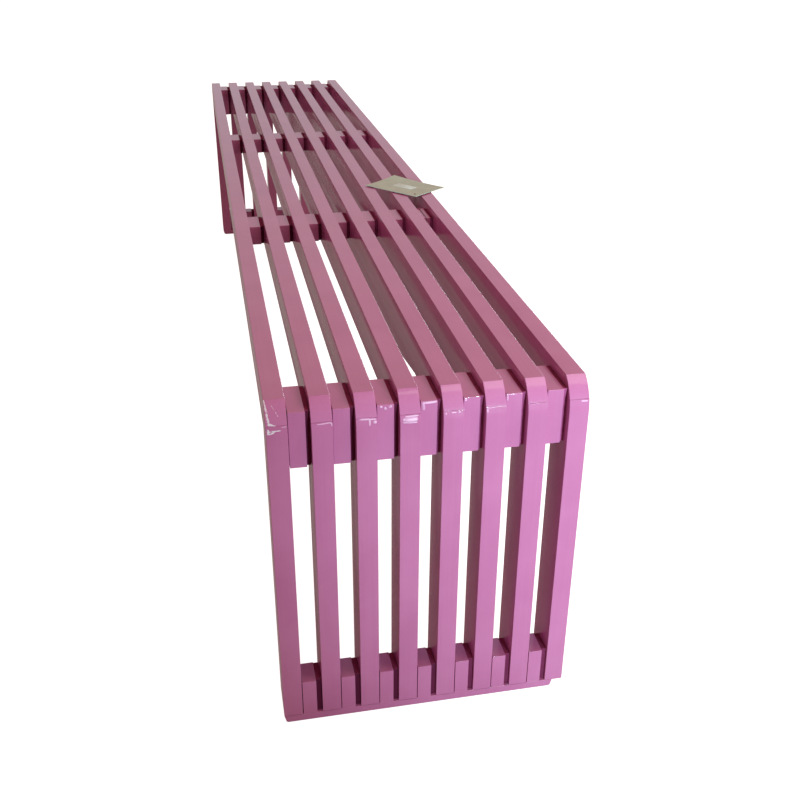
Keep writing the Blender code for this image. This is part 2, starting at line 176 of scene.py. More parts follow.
# Card tag and its string
TAG_LENGTH = 0.120
TAG_WIDTH = 0.083
TAG_TURN = math.radians(39)
TAG_HOLE_RADIUS = 0.0016
TAG_HOLE_INSET = 0.011
TAG_SIDE_STEPS = 12
TAG_RINGS = 14
TAG_LIFT = 0.0013
TAG_CURL = 0.0042
LABEL_LENGTH = 0.044
LABEL_WIDTH = 0.019
LABEL_ROUND = 0.002
LABEL_THICKNESS = 0.0002
KNOT_SIZE = 0.0009
KNOT_RISE = 0.9
KNOT_OPEN = 0.25
KNOT_STEPS = 120
STRING_DIAMETER = 0.0010
STRING_STEPS = 8
STRING_SIDES = 14
STRING_TWIST = 900.0
STRING_PLIES = 0.22
STRING_BLOCK = "near_seat_spacer_7"
STRING_ROUTE = (
    (-0.0425, 0.0009, 0.0140),
    (-0.0424, 0.0009, 0.0095),
    (-0.0399, 0.0009, 0.0035),
    (-0.0329, 0.0008, -0.0010),
    (-0.0231, 0.0006, -0.0030),
    (-0.0132, 0.0004, -0.0020),
    (-0.0049, 0.0002, 0.0002),
    (0.0030, 0.0001, 0.0014),
    (0.0160, 0.0000, 0.0011),
    (0.0320, 0.0000, 0.0011),
    (0.0470, 0.0000, 0.0011),
    (0.0565, 0.0000, 0.0013),
    (0.0603, 0.0001, 0.0000),
    (0.0615, 0.0002, -0.0036),
    (0.0614, 0.0005, -0.0130),
    (0.0615, 0.0010, -0.0250),
    (0.0605, 0.0016, -0.0335),
    (0.0550, 0.0020, -0.0397),
    (0.0430, 0.0024, -0.0425),
    (0.0290, 0.0028, -0.0420),
    (0.0150, 0.0031, -0.0390),
    (0.0020, 0.0033, -0.0340),
    (-0.0074, 0.0033, -0.0275),
    (-0.0156, 0.0033, -0.0200),
    (-0.0239, 0.0033, -0.0115),
    (-0.0321, 0.0033, -0.0030),
    (-0.0387, 0.0033, 0.0040),
    (-0.0422, 0.0033, 0.0100),
    (-0.0425, 0.0033, 0.0140),
)

# Colours
PAINT = (0.53, 0.163, 0.345)
PAINT_DEEP = (0.48, 0.133, 0.300)
PAINT_PALE = (0.60, 0.25, 0.44)
# Paint runs take the pale colour and this paler one, a painted highlight in place of their glint
PAINT_RUN_HIGHLIGHT = (0.72, 0.34, 0.56)
# Painted shade in the slots beside the blocks: the shadow deep in them, the paler lit colours where
# more light reaches in, and a shade for their level faces
SLOT_SHADOW = (0.095, 0.013, 0.038)
SLOT_LIT = (0.36, 0.075, 0.20)
FOOT_SLOT_LIT = (0.18, 0.028, 0.080)
SLOT_LEVEL_SHADE = (0.27, 0.042, 0.105)
PRIMER = (0.74, 0.62, 0.72)
BEECH = (0.52, 0.36, 0.21)
BEECH_DARK = (0.34, 0.20, 0.10)
KRAFT = (0.53, 0.58, 0.50)
KRAFT_DARK = (0.43, 0.47, 0.40)
LABEL_WHITE = (0.74, 0.88, 0.93)
JUTE = (0.20, 0.13, 0.11)
JUTE_DARK = (0.10, 0.06, 0.05)

# Finishes: scales are waves per metre, and a relief is a bump's strength and depth
ALONG_BAR = (2.0, 260.0, 260.0)
ALONG_LEG = (260.0, 260.0, 4.0)
ALONG_BLOCK = (40.0, 260.0, 40.0)
WIDE_RANGE = (0.2, 0.8)
MIDDLE_RANGE = (0.3, 0.7)
NARROW_RANGE = (0.35, 0.65)
PEEL_SCALE = 420.0
PEEL_SHARE = 0.35
CLOUD_SCALE = 9.0
BRUSH_SHARE = 0.2
PAINT_RELIEF = (0.05, 0.0004)
GLOSS_RANGE = (0.25, 0.75)
PAINT_GLOSS = (0.10, 0.16)
RUN_GLOSS = (0.38, 0.46)
RUB_SCALE = 55.0
RUB_RANGE = (0.52, 0.72)
RUB_AMOUNT = 0.4
CHIP_SCALE = 420.0
CHIP_RAGGED = (3.6, -0.9)
CHIP_EDGE = 0.6
CHIP_ROUGHNESS = 0.4
# Where across the bench the slots' painted shade turns paler, and noise that darkens it in places
SLOT_SHADE_PLACES = (-0.06, 0.12)
SLOT_SCALE = 90.0
SLOT_CLOUDS = 0.3
SLOT_ROUGHNESS = (0.65, 0.85)
ROD_GRAIN = (300.0, 6.0, 300.0)
ROD_SPOT_SCALE = 70.0
ROD_SPOT_RANGE = (0.30, 0.42)
ROD_ROUGHNESS = (0.40, 0.62)
ROD_RELIEF = (0.25, 0.0003)
CARD_GRAIN = (500.0, 1400.0, 500.0)
CARD_CLOUD_SCALE = 60.0
CARD_FIBRE_SHARE = 0.6
CARD_FLECK_SCALE = 900.0
CARD_FLECK_RANGE = (0.66, 0.74)
CARD_FLECKS = 0.5
CARD_ROUGHNESS = (0.75, 0.92)
CARD_RELIEF = (0.3, 0.0002)
STRING_GRAIN = (5000.0, 3.0, 1.0)
STRING_ROUGHNESS = (0.8, 0.95)
STRING_RELIEF = (0.5, 0.0002)
SHARP_ANGLE = math.radians(50)

# A Mix node's colour sockets: the share and the two colours, and the result
MIX_INPUTS = (0, 6, 7)
MIX_RESULT = 2

# Stage
FLOOR_SIZE = 30.0
FLOOR_COLOUR = (0.56, 0.55, 0.55)
FLOOR_GLOW = 0.93
FLOOR_SHEEN = 0.12
FLOOR_SHADE = (-0.05, -0.01)
KEY_PLACE = (3.82, 0.82, 0.63)
KEY_AIM = (1.04, 0.41, 0.375)
KEY_SIZE = 0.10
KEY_CONE = math.radians(29)
KEY_POWER = 550.0
KEY_COLOUR = (0.62, 0.96, 1.0)
KEY_REACH = (3.7, 4.8)
TOP_PLACE = (1.05, 0.95, 1.65)
TOP_AIM = (0.6, 0.0, 0.44)
TOP_SIZE = (1.6, 1.2)
TOP_POWER = 14.2
TOP_COLOUR = (0.97, 0.87, 0.72)
BACK_PLACE = (-2.7, 2.2, 0.65)
BACK_AIM = (-0.5, 0.1, 0.25)
BACK_SIZE = (1.6, 1.2)
BACK_POWER = 36.0
BACK_COLOUR = (0.78, 0.95, 1.0)
AMBIENT = (0.42, 0.27, 0.23)
SURROUND = (0.63, 0.63, 0.67)

# Places taken from the frame
BENCH_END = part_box("near_leg_1")[1].x
LEG_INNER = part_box("near_leg_1")[0].x
SEAT_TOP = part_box("seat_bar_1")[1].z
BAR_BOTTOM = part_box("seat_bar_1")[0].z
LAP_HEIGHT = SEAT_TOP - LAP_DEPTH
ROUND_CENTRE = (BENCH_END - CORNER_RADIUS, SEAT_TOP - CORNER_RADIUS * math.cos(CORNER_CREASE))


def add_camera():
    """The camera at the photograph's place."""
    made = bpy.data.objects.new("camera", bpy.data.cameras.new("camera"))
    made.data.lens = LENS
    made.data.sensor_width = SENSOR
    made.location = EYE
    made.rotation_euler = [math.radians(turn) for turn in EYE_TURN]
    bpy.context.scene.collection.objects.link(made)
    bpy.context.scene.camera = made


# Node trees


class Sketch:
    """Adds nodes to a node tree, with their inputs set to values or linked from other nodes."""

    def __init__(self, tree):
        self.tree = tree

    def add(self, kind, inputs=None, **settings):
        """One node. An input that is given a socket is linked, and any other is set."""
        node = self.tree.nodes.new("ShaderNode" + kind)
        for name, value in settings.items():
            setattr(node, name, value)
        for key, value in (inputs or {}).items():
            if isinstance(value, bpy.types.NodeSocket):
                self.tree.links.new(value, node.inputs[key])
            else:
                node.inputs[key].default_value = value
        return node

    def math(self, operation, first, second=0.0, third=0.0):
        """The value of a Math node."""
        inputs = {0: first, 1: second, 2: third}
        return self.add("Math", inputs, operation=operation).outputs[0]

    def vector(self, operation, first, second=(0.0, 0.0, 0.0)):
        """A Vector Math node."""
        return self.add("VectorMath", {0: first, 1: second}, operation=operation)

    def place(self):
        """Where a point of the surface is on the bench."""
        return self.add("TexCoord").outputs["Object"]

    def group(self, name, inputs):
        """The outputs of a shared node group."""
        return self.add("Group", inputs, node_tree=groups[name]).outputs

    def noise(self, where, scale, detail=2.0, roughness=0.5, distortion=0.0):
        """The value of a Noise Texture."""
        inputs = {"Vector": where, "Scale": scale, "Detail": detail, "Roughness": roughness}
        return self.add("TexNoise", {**inputs, "Distortion": distortion}).outputs[0]

    def ramp(self, value, low, high, to_low=0.0, to_high=1.0):
        """A value brought smoothly from one range to another."""
        inputs = {"Value": value, "From Min": low, "From Max": high}
        inputs.update({"To Min": to_low, "To Max": to_high})
        return self.add("MapRange", inputs, interpolation_type="SMOOTHSTEP").outputs[0]

    def share(self, first, part, second):
        """A value made up of a part of the first and the rest of the second."""
        return self.math("MULTIPLY_ADD", first, part, self.math("MULTIPLY", second, 1 - part))

    def mix(self, factor, *colours):
        """A mix of two colours, each a socket or a plain colour."""
        linked = bpy.types.NodeSocket
        sides = [side if isinstance(side, linked) else (*side, 1.0) for side in colours]
        inputs = dict(zip(MIX_INPUTS, (factor, *sides)))
        return self.add("Mix", inputs, data_type="RGBA").outputs[MIX_RESULT]

    def finish(self, shader, colour, roughness, height=None, relief=(0.0, 0.0)):
        """Gives a shader its colour and roughness, and a bump where there is a height."""
        self.tree.links.new(colour, shader.inputs["Base Color"])
        self.tree.links.new(roughness, shader.inputs["Roughness"])
        if height is not None:
            inputs = {"Height": height, "Strength": relief[0], "Distance": relief[1]}
            bump = self.add("Bump", inputs)
            self.tree.links.new(bump.outputs["Normal"], shader.inputs["Normal"])


def new_group(name, inputs, outputs):
    """An empty node group with named sockets: its sketch, its input sockets and its output node."""
    group = bpy.data.node_groups.new(name, "ShaderNodeTree")
    for label, kind in inputs.items():
        group.interface.new_socket(label, in_out="INPUT", socket_type="NodeSocket" + kind)
    for label, kind in outputs.items():
        group.interface.new_socket(label, in_out="OUTPUT", socket_type="NodeSocket" + kind)
    enter = group.nodes.new("NodeGroupInput").outputs
    leave = group.nodes.new("NodeGroupOutput")
    return Sketch(group), enter, leave.inputs


def make_brushed_coat():
    """Gloss paint laid on with a brush: drawn-out marks, a fine orange peel and a cloudy tone."""
    inputs = {"Vector": "Vector", "Stretch": "Vector"}
    sketch, enter, leave = new_group("brushed_coat", inputs, {"Height": "Float", "Tone": "Float"})
    drawn = sketch.vector("MULTIPLY", enter["Vector"], enter["Stretch"]).outputs[0]
    marks = sketch.noise(drawn, 1.0, detail=3.0, roughness=0.6)
    peel = sketch.noise(enter["Vector"], PEEL_SCALE, detail=1.0)
    cloud = sketch.noise(enter["Vector"], CLOUD_SCALE, detail=3.0, roughness=0.55)
    sketch.tree.links.new(sketch.share(peel, PEEL_SHARE, marks), leave["Height"])
    sketch.tree.links.new(sketch.share(marks, BRUSH_SHARE, cloud), leave["Tone"])
    return sketch.tree


def make_rubbed_edge():
    """Where a painted edge has been rubbed thin: the eased edges, broken up by noise."""
    inputs = {"Vector": "Vector", "Edge": "Float", "Amount": "Float"}
    sketch, enter, leave = new_group("rubbed_edge", inputs, {"Mask": "Float"})
    broken = sketch.noise(enter["Vector"], RUB_SCALE, detail=4.0, roughness=0.65)
    worn = sketch.math("MULTIPLY", enter["Edge"], sketch.ramp(broken, *RUB_RANGE))
    mask = sketch.math("MULTIPLY", worn, enter["Amount"])
    sketch.tree.links.new(mask, leave["Mask"])
    return sketch.tree


def make_chip():
    """A chip along a line from Start to End: nearer to the line than Width, ragged by noise."""
    inputs = {"Vector": "Vector", "Start": "Vector", "End": "Vector", "Width": "Float"}
    sketch, enter, leave = new_group("chip", inputs, {"Mask": "Float"})
    line = sketch.vector("SUBTRACT", enter["End"], enter["Start"]).outputs[0]
    point = sketch.vector("SUBTRACT", enter["Vector"], enter["Start"]).outputs[0]
    along = sketch.vector("DOT_PRODUCT", point, line).outputs["Value"]
    length = sketch.vector("DOT_PRODUCT", line, line).outputs["Value"]
    share = sketch.math("DIVIDE", along, length)
    share = sketch.add("Clamp", {"Value": share}).outputs[0]
    spread = sketch.add("VectorMath", {0: line, "Scale": share}, operation="SCALE").outputs[0]
    away = sketch.vector("DISTANCE", point, spread).outputs["Value"]
    ragged = sketch.noise(enter["Vector"], CHIP_SCALE, detail=4.0, roughness=0.75)
    ragged = sketch.math("MULTIPLY_ADD", ragged, *CHIP_RAGGED)
    reach = sketch.math("MULTIPLY", enter["Width"], ragged)
    inside = sketch.math("DIVIDE", sketch.math("SUBTRACT", reach, away), enter["Width"])
    sketch.tree.links.new(sketch.ramp(inside, 0.0, CHIP_EDGE), leave["Mask"])
    return sketch.tree


def new_look(name):
    """A new material, its sketch and its Principled shader."""
    look = bpy.data.materials.new(name)
    look.use_nodes = True
    return look, Sketch(look.node_tree), look.node_tree.nodes["Principled BSDF"]


def paint_look(name, stretch, chips=(), tones=(PAINT_DEEP, PAINT), gloss=PAINT_GLOSS):
    """Pink gloss paint over primed wood, with brush marks drawn along the piece."""
    look, sketch, shader = new_look(name)
    where = sketch.place()
    edge = sketch.add("Attribute", attribute_name="edge").outputs["Fac"]
    coat = sketch.group("brushed_coat", {"Vector": where, "Stretch": stretch})
    rub = sketch.group("rubbed_edge", {"Vector": where, "Edge": edge, "Amount": RUB_AMOUNT})
    colour = sketch.mix(sketch.ramp(coat["Tone"], *MIDDLE_RANGE), *tones)
    colour = sketch.mix(rub["Mask"], colour, PAINT_PALE)
    roughness = sketch.ramp(coat["Tone"], *GLOSS_RANGE, *gloss)
    height = coat["Height"]
    for start, end, width in chips:
        inputs = {"Vector": where, "Start": start, "End": end, "Width": width}
        chip = sketch.group("chip", inputs)["Mask"]
        colour = sketch.mix(chip, colour, PRIMER)
        roughness = sketch.math("MULTIPLY_ADD", chip, CHIP_ROUGHNESS, roughness)
        height = sketch.math("SUBTRACT", height, chip)
    sketch.finish(shader, colour, roughness, height, PAINT_RELIEF)
    return look


def shaded_slot_look(name, pale):
    """Matt paint in the slots beside the blocks, its colour painted with the slots' shade.

    Upright faces are darkest, as painted shadow, by the first slats. They turn to the pale colour,
    painted light, by the last slats, where more light reaches in. Level faces take a painted shade
    colour of their own, and noise darkens the colour in places.
    """
    look, sketch, shader = new_look(name)
    where = sketch.place()
    cloud = sketch.noise(where, SLOT_SCALE, detail=3.0, roughness=0.6)
    across = sketch.add("SeparateXYZ", {0: where}).outputs["Y"]
    facing = sketch.add("NewGeometry").outputs["Normal"]
    level = sketch.ramp(sketch.add("SeparateXYZ", {0: facing}).outputs["Z"], *WIDE_RANGE)
    # Painted shade: darkest by the first slats, paler towards the last, and its own colour on level
    # faces
    colour = sketch.mix(sketch.ramp(across, *SLOT_SHADE_PLACES), SLOT_SHADOW, pale)
    colour = sketch.mix(level, colour, SLOT_LEVEL_SHADE)
    shade = sketch.math("MULTIPLY", sketch.ramp(cloud, *NARROW_RANGE), SLOT_CLOUDS)
    colour = sketch.mix(shade, colour, SLOT_SHADOW)
    sketch.finish(shader, colour, sketch.ramp(cloud, *WIDE_RANGE, *SLOT_ROUGHNESS))
    shader.inputs["Specular IOR Level"].default_value = 0.0
    return look


def rod_look():
    """Beech dowel with paint on it where the brush reached."""
    look, sketch, shader = new_look("painted_beech")
    where = sketch.place()
    drawn = sketch.vector("MULTIPLY", where, ROD_GRAIN).outputs[0]
    grain = sketch.noise(drawn, 1.0, detail=4.0, roughness=0.65)
    wood = sketch.mix(sketch.ramp(grain, *NARROW_RANGE), BEECH_DARK, BEECH)
    spots = sketch.ramp(sketch.noise(where, ROD_SPOT_SCALE, detail=3.0), *ROD_SPOT_RANGE)
    roughness = sketch.ramp(grain, *WIDE_RANGE, *ROD_ROUGHNESS)
    sketch.finish(shader, sketch.mix(spots, wood, PAINT_DEEP), roughness, grain, ROD_RELIEF)
    return look


def card_look(name, pale, dark):
    """Recycled card: pressed fibres, flecks and a soft cloudiness."""
    look, sketch, shader = new_look(name)
    where = sketch.place()
    drawn = sketch.vector("MULTIPLY", where, CARD_GRAIN).outputs[0]
    fibre = sketch.noise(drawn, 1.0, detail=4.0, roughness=0.7, distortion=0.6)
    cloud = sketch.noise(where, CARD_CLOUD_SCALE, detail=2.0)
    flecks = sketch.ramp(sketch.noise(where, CARD_FLECK_SCALE, detail=1.0), *CARD_FLECK_RANGE)
    tone = sketch.share(fibre, CARD_FIBRE_SHARE, cloud)
    colour = sketch.mix(sketch.ramp(tone, *MIDDLE_RANGE), dark, pale)
    colour = sketch.mix(sketch.math("MULTIPLY", flecks, CARD_FLECKS), colour, dark)
    roughness = sketch.ramp(fibre, *WIDE_RANGE, *CARD_ROUGHNESS)
    sketch.finish(shader, colour, roughness, fibre, CARD_RELIEF)
    return look


def string_look():
    """Two-ply jute: fibres wound round the string, paler where they stand out."""
    look, sketch, shader = new_look("jute_string")
    lay = sketch.add("UVMap", uv_map="lay").outputs[0]
    drawn = sketch.vector("MULTIPLY", lay, STRING_GRAIN).outputs[0]
    fibre = sketch.noise(drawn, 1.0, detail=4.0, roughness=0.7, distortion=0.8)
    colour = sketch.mix(sketch.ramp(fibre, *MIDDLE_RANGE), JUTE_DARK, JUTE)
    roughness = sketch.ramp(fibre, *WIDE_RANGE, *STRING_ROUGHNESS)
    sketch.finish(shader, colour, roughness, fibre, STRING_RELIEF)
    return look


# Surfaces


def rounded_outline(corners):
    """A closed outline in X and Z with arcs for corners: its points, ways out and room for an ease.

    A corner is (x, z, radius, steps). Its arc leaves the side before it and meets the side after it
    at radius times the tangent of half the turn, and its points stand at even angles between the
    ways out of the two sides. An ease has room up to the radius of an outer corner.
    """
    places = np.array([corner[:2] for corner in corners])
    runs = np.roll(places, -1, axis=0) - places
    runs /= np.linalg.norm(runs, axis=1, keepdims=True)
    points, ways, rooms = [], [], []
    for (x, z, radius, steps), before, after in zip(corners, np.roll(runs, 1, axis=0), runs):
        turn = math.atan2(before[0] * after[1] - before[1] * after[0], before @ after)
        side = np.array([before[1], -before[0]])
        angle = turn * np.linspace(0, 1, steps + 1)[:, None]
        way = np.cos(angle) * side + np.sin(angle) * before
        bulge = math.copysign(radius, turn)
        centre = np.array([x, z]) - before * radius * math.tan(abs(turn) / 2) - side * bulge
        points.append(centre + bulge * way)
        ways.append(way)
        rooms.append(np.full(steps + 1, radius if turn > 0 else math.inf))
    return np.concatenate(points), np.concatenate(ways), np.concatenate(rooms)


def plank(corners, low, high, ease):
    """A shell: an outline in X and Z carried across Y, its two sides eased by a quarter circle.

    At angle a, from 0 on the side to a right angle, a ring stands ease * (1 - cos a) in from the
    side and is drawn in by ease * (1 - sin a). Returns points, ways out, quads, caps and edge
    marks, which are sin(2a): 1 on the middle of an eased edge and 0 on the flats.
    """
    points, ways, rooms = rounded_outline(corners)
    ease = np.minimum(ease, rooms)[None, :]
    angle = np.linspace(0, math.pi / 2, EASE_STEPS + 1)
    angle = np.concatenate([angle, angle[::-1]])[:, None]
    half = np.repeat([-1.0, 1.0], EASE_STEPS + 1)[:, None]
    drawn_in = (ease * (1 - np.sin(angle)))[..., None]
    y = np.where(half < 0, low, high) - half * ease * (1 - np.cos(angle))
    flat = points[None] - ways[None] * drawn_in
    places = np.stack([flat[..., 0], y, flat[..., 1]], axis=-1)
    level = np.broadcast_to(np.sin(angle), y.shape)
    sideways = np.broadcast_to(half * np.cos(angle), y.shape)
    outs = np.stack([ways[:, 0] * level, sideways, ways[:, 1] * level], axis=-1)
    edge = np.broadcast_to(np.sin(2 * angle), y.shape)
    index = np.arange(y.size).reshape(y.shape)
    ahead = np.roll(index, -1, axis=1)
    quads = np.stack([index[:-1], index[1:], ahead[1:], ahead[:-1]], axis=-1).reshape(-1, 4)
    caps = [index[0].tolist(), index[-1][::-1].tolist()]
    return places.reshape(-1, 3), outs.reshape(-1, 3), quads, caps, edge.reshape(-1)


def tube(path, radius, around, twist=0.0, plies=0.0, side=(0.0, 1.0, 0.0), flat=1.0):
    """A shell: a round profile carried along a path, with flat ends.

    At distance s along the path and angle a round it, the radius is the path's own times
    1 - plies + plies * |cos(a - twist * s)|, which winds two strands round each other. Angles start
    from the part of side that is square to the path, and flat draws the profile in that way. Its
    marks are s and a.
    """
    run = np.gradient(path, axis=0)
    run /= np.linalg.norm(run, axis=1, keepdims=True)
    across = np.array(side) - run * (run @ np.array(side))[:, None]
    across /= np.linalg.norm(across, axis=1, keepdims=True)
    lift = np.cross(run, across)
    steps = np.linalg.norm(np.diff(path, axis=0), axis=1)
    way = np.concatenate([[0.0], np.cumsum(steps)])[:, None]
    angle = np.linspace(0, 2 * math.pi, around, endpoint=False)[None, :]
    size = radius * (1 - plies + plies * np.abs(np.cos(angle - twist * way)))
    sideways = flat * np.cos(angle)[..., None] * across[:, None]
    upwards = np.sin(angle)[..., None] * lift[:, None]
    places = path[:, None] + size[..., None] * (sideways + upwards)
    index = np.arange(size.size).reshape(size.shape)
    ahead = np.roll(index, -1, axis=1)
    quads = np.stack([index[:-1], ahead[:-1], ahead[1:], index[1:]], axis=-1).reshape(-1, 4)
    caps = [index[0][::-1].tolist(), index[-1].tolist()]
    lay = np.stack(np.broadcast_arrays(way, angle), axis=-1)
    return places.reshape(-1, 3), None, quads, caps, lay.reshape(-1, 2)


def joined(shells):
    """Several shells as one, the faces of each counted on from the points before it."""
    starts = np.cumsum([0] + [len(shell[0]) for shell in shells[:-1]]).tolist()
    quads = np.concatenate([shell[2] + start for shell, start in zip(shells, starts)])
    caps = [[i + start for i in cap] for shell, start in zip(shells, starts) for cap in shell[3]]
    points, marks = (np.concatenate([shell[i] for shell in shells]) for i in (0, 4))
    outs = None if shells[0][1] is None else np.concatenate([shell[1] for shell in shells])
    return points, outs, quads, caps, marks


def add_piece(name, shell, look, slot, *nodes):
    """A piece of the bench made from a shell, which stands for the given CAD nodes."""
    points, outs, quads, caps, marks = shell
    mesh = bpy.data.meshes.new(name)
    mesh.from_pydata(points.tolist(), [], quads.tolist() + caps)
    mesh.polygons.foreach_set("use_smooth", np.ones(len(mesh.polygons), dtype=bool))
    if outs is None:
        mesh.set_sharp_from_angle(angle=SHARP_ANGLE)
    else:
        mesh.normals_split_custom_set_from_vertices(outs.tolist())
    if marks is not None and marks.ndim == 1:
        mesh.attributes.new("edge", "FLOAT", "POINT").data.foreach_set("value", marks)
    elif marks is not None:
        corners = np.empty(len(mesh.loops), dtype=np.int32)
        mesh.loops.foreach_get("vertex_index", corners)
        mesh.uv_layers.new(name="lay").uv.foreach_set("vector", marks[corners].ravel())
    mesh.materials.append(look)
    made = bpy.data.objects.new(name, mesh)
    bpy.context.scene.collection.objects.link(made)
    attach(made, "root")
    if nodes:
        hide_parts(*nodes)
    return made


# Tag and string


def smooth_way(points, steps):
    """A smooth curve through points: on each stretch the Catmull-Rom cubic of the four nearest."""
    ends = np.concatenate([2 * points[:1] - points[1:2], points, 2 * points[-1:] - points[-2:-1]])
    before, start, stop, after = (ends[i:len(ends) - 3 + i, None] for i in range(4))
    t = (np.arange(steps) / steps)[None, :, None]
    bend = 2 * before - 5 * start + 4 * stop - after
    turn = 3 * start - before - 3 * stop + after
    way = start + t * (stop - before) / 2 + t ** 2 * bend / 2 + t ** 3 * turn / 2
    return np.concatenate([way.reshape(-1, 3), points[-1:]])


def on_card(u, v, z):
    """Places along and across the card from its middle, turned and set where the card lies."""
    low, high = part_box("hang_tag")
    x = (low.x + high.x) / 2 + u * math.cos(TAG_TURN) - v * math.sin(TAG_TURN)
    y = (low.y + high.y) / 2 + u * math.sin(TAG_TURN) + v * math.cos(TAG_TURN)
    return np.stack(np.broadcast_arrays(x, y, z), axis=-1)


def card_lift(u, v):
    """How far the card stands up: squares of the ways to its near edges and to its far corner."""
    along, across = u / TAG_LENGTH + 0.5, v / TAG_WIDTH + 0.5
    edges = np.maximum(along, 1 - across) ** 2
    return TAG_LIFT * edges + TAG_CURL * ((1 - along) * across) ** 2


def card_shell():
    """A shell: rings that go from the round hole out to the card's rim, down it and back below.

    A ring at share t lies on straight spokes between the hole and the rim, and spokes stand at even
    steps along the four sides.
    """
    low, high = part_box("hang_tag")
    step = np.linspace(-1, 1, TAG_SIDE_STEPS, endpoint=False)
    one = np.ones(TAG_SIDE_STEPS)
    u = np.concatenate([step, one, -step, -one]) * TAG_LENGTH / 2
    v = np.concatenate([-one, step, one, -step]) * TAG_WIDTH / 2
    hole_u = TAG_LENGTH / 2 - TAG_HOLE_INSET
    hole_v = TAG_HOLE_INSET - TAG_WIDTH / 2
    angle = np.arctan2(v - hole_v, u - hole_u)
    start_u = hole_u + TAG_HOLE_RADIUS * np.cos(angle)
    start_v = hole_v + TAG_HOLE_RADIUS * np.sin(angle)
    share = np.linspace(0, 1, TAG_RINGS)[:, None]
    share = np.concatenate([share, share[::-1]])
    u = start_u + (u - start_u) * share
    v = start_v + (v - start_v) * share
    level = np.repeat([high.z, low.z], TAG_RINGS)[:, None]
    places = on_card(u, v, level + card_lift(u, v))
    index = np.arange(u.size).reshape(u.shape)
    ahead = np.roll(index, -1, axis=1)
    below, below_ahead = np.roll(index, -1, axis=0), np.roll(ahead, -1, axis=0)
    quads = np.stack([index, below, below_ahead, ahead], axis=-1).reshape(-1, 4)
    return places.reshape(-1, 3), None, quads, [], None


def label_shell():
    """A shell: a plain label's rounded rectangle, a plank laid flat on the middle of the card."""
    half_length, half_width = LABEL_LENGTH / 2, LABEL_WIDTH / 2
    corners = [
        (-half_length, -half_width, LABEL_ROUND, ARC_STEPS),
        (half_length, -half_width, LABEL_ROUND, ARC_STEPS),
        (half_length, half_width, LABEL_ROUND, ARC_STEPS),
        (-half_length, half_width, LABEL_ROUND, ARC_STEPS),
    ]
    points, _, quads, caps, _ = plank(corners, -LABEL_THICKNESS, 0.0, LABEL_THICKNESS / 4)
    u, v = points[:, 0], points[:, 2]
    places = on_card(u, v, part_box("hang_tag")[1].z + card_lift(u, v) - points[:, 1])
    return places, None, quads, caps, None


def knot_shell(middle):
    """A shell: a tube along most of a trefoil, which a simple overhand knot follows.

    At angle t the path is 2 + cos(3t) from the middle in the direction 2t, and up by the rise
    times sin(3t).
    """
    t = np.linspace(KNOT_OPEN, 2 * math.pi - KNOT_OPEN, KNOT_STEPS)
    ring = 2 + np.cos(3 * t)
    rise = KNOT_RISE * np.sin(3 * t)
    path = np.stack([ring * np.cos(2 * t), ring * np.sin(2 * t), rise], axis=-1)
    return tube(middle + KNOT_SIZE / 2 * path, STRING_DIAMETER / 2, STRING_SIDES)


def add_tag():
    """The card, its label, and the string that is looped round a block and knotted on the card."""
    low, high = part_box(STRING_BLOCK)
    left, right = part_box("seat_bar_7")[1].y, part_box("seat_bar_8")[0].y
    start = np.array([low.x, (left + right) / 2, high.z])
    path = smooth_way(start + np.array(STRING_ROUTE), STRING_STEPS)
    shell = tube(path, STRING_DIAMETER / 2, STRING_SIDES, STRING_TWIST, STRING_PLIES)
    string = add_piece("jute_string", shell, string_look(), "jute_string", "tag_string")
    kraft = card_look("kraft_card", KRAFT, KRAFT_DARK)
    add_piece("kraft_card", card_shell(), kraft, "kraft_card", "hang_tag")
    add_piece("blank_label", label_shell(), card_look("label", LABEL_WHITE, KRAFT), "kraft_card")
    middle = (path[0] + path[-1]) / 2
    knot = add_piece("string_knot", knot_shell(middle), string_look(), "jute_string")


# Slats, blocks and rails


def on_round(turn):
    """A point of the near end's round, by the angle that its surface has turned from the top."""
    x, z = ROUND_CENTRE
    return np.array([x + CORNER_RADIUS * math.sin(turn), z + CORNER_RADIUS * math.cos(turn)])


def round_corner(first, last):
    """The corner where the tangents at two angles of the near end's round cross."""
    half = (last - first) / 2
    far = CORNER_RADIUS / math.cos(half)
    x, z = ROUND_CENTRE
    turn = first + half
    return (x + far * math.sin(turn), z + far * math.cos(turn), CORNER_RADIUS, END_STEPS)


def tangent_at(turn, height):
    """How far along the bench the round's tangent at an angle is at a height."""
    x, z = on_round(turn)
    return x + (z - height) / math.tan(turn)


def mirrored(corners):
    """The same corners at the other end of the bench, still in the turning order of an outline."""
    return [(-x, *rest) for x, *rest in reversed(corners)]


def bar_corners():
    """A seat bar: its bottom, the rebates over the legs, and the two ends' rounds."""
    inner = LEG_INNER - REBATE_GAP
    near = [
        (inner, BAR_BOTTOM, REBATE_ROUND, ARC_STEPS),
        (inner, LAP_HEIGHT, REBATE_ROUND, ARC_STEPS),
        (tangent_at(BAR_TURN, LAP_HEIGHT), LAP_HEIGHT, SEAM_ROUND, SEAM_STEPS),
        round_corner(CREASE_TURN, BAR_TURN),
        (tangent_at(CREASE_TURN, SEAT_TOP), SEAT_TOP, CREASE_ROUND, ARC_STEPS),
    ]
    return near + mirrored(near)


def keel_corners():
    """The batten under the middle bar: deep along most of it, and running out to thin tips."""
    tip = BENCH_END - KEEL_INSET
    near = [
        (tip - KEEL_TAPER, BAR_BOTTOM - KEEL_DEPTH, KEEL_ROUND, ARC_STEPS),
        (tip, BAR_BOTTOM - KEEL_TIP, KEEL_ROUND, ARC_STEPS),
        (tip, BAR_BOTTOM + KEEL_ROOT, KEEL_ROUND, ARC_STEPS),
    ]
    return near + mirrored(near)


